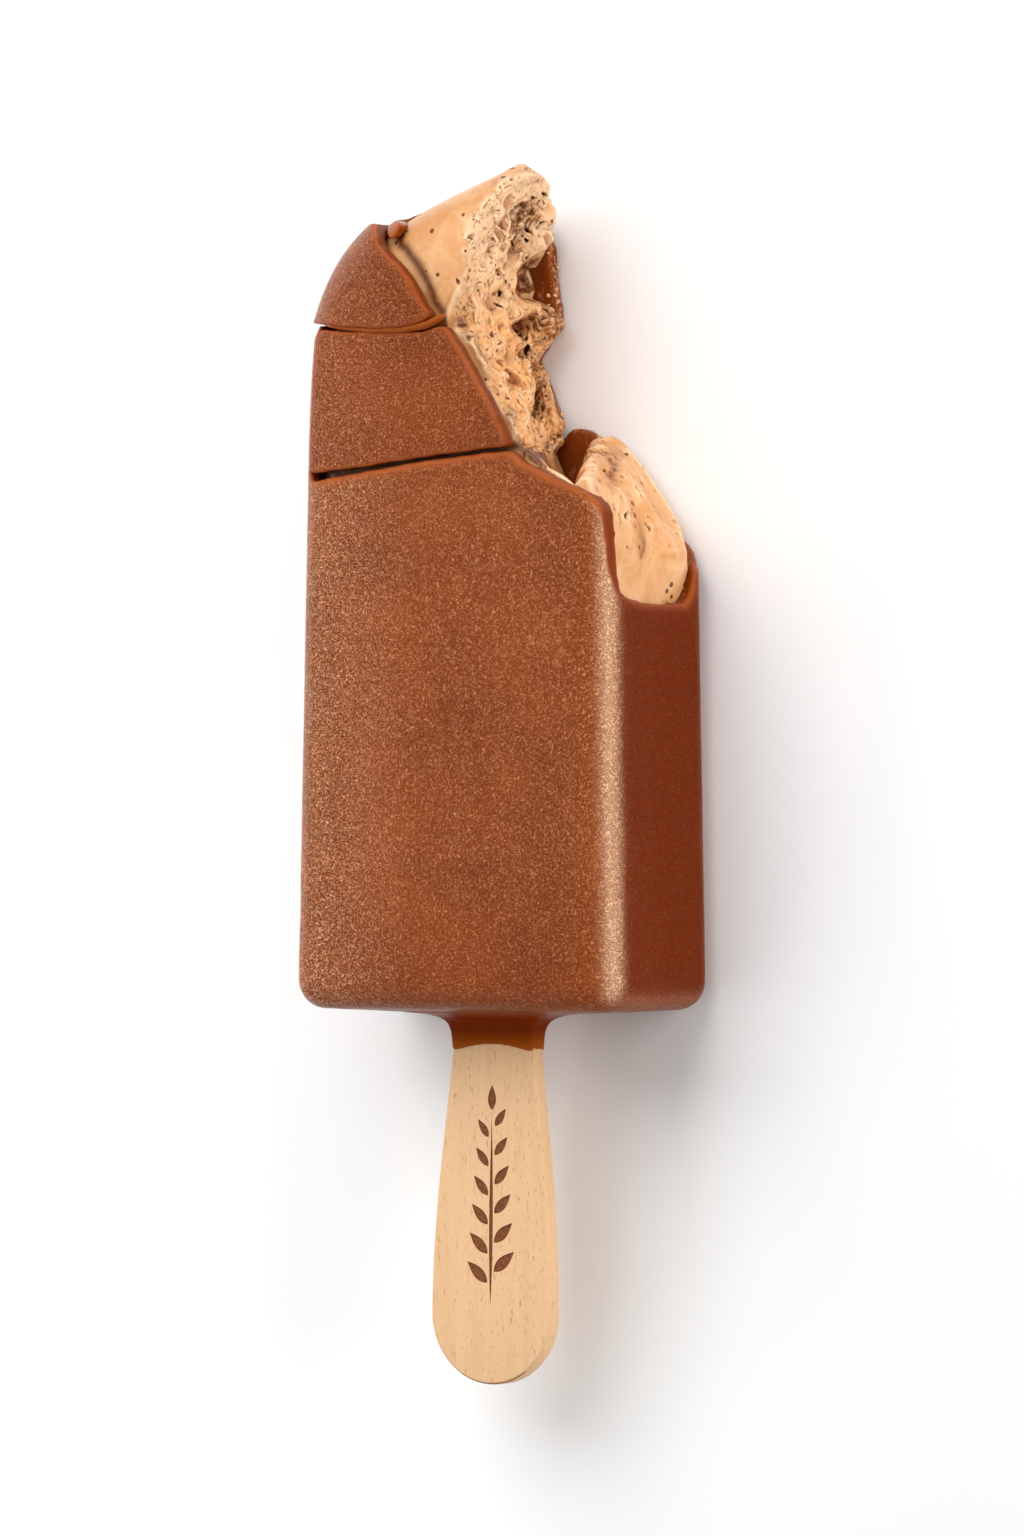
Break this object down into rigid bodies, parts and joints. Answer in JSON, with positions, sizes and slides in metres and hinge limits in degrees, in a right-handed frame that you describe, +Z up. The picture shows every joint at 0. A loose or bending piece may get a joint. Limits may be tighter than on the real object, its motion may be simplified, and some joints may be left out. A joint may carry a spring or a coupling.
{
  "type": "chocolate-coated ice cream bar on a stick",
  "caption": "Bitten chocolate-coated ice cream bar lying on its back: cracked coating, torn ice cream inside, flat wooden paddle stick.",
  "frame": {"origin": "under the middle of the whole bar's box, on the surface it lies on", "axes": "+Y along the bar from the free end of its stick to its bitten end, +X across it towards the bitten side, +Z up, out of the shown front"},
  "size_m": [0.0478, 0.1526, 0.0263],
  "materials": {
    "ice_cream": "pale caramel ice cream, torn and pitted in the bite, smooth where it was moulded",
    "chocolate": "satin milk chocolate with a fine crinkled surface",
    "wood": "bare smooth birch"
  },
  "bodies": {
    "root": {"ice_cream": "ice_cream", "coating_main": "chocolate", "coating_shard_middle": "chocolate", "coating_shard_top": "chocolate", "coating_flake": "chocolate", "stick": "wood"}
  },
  "joints": []
}
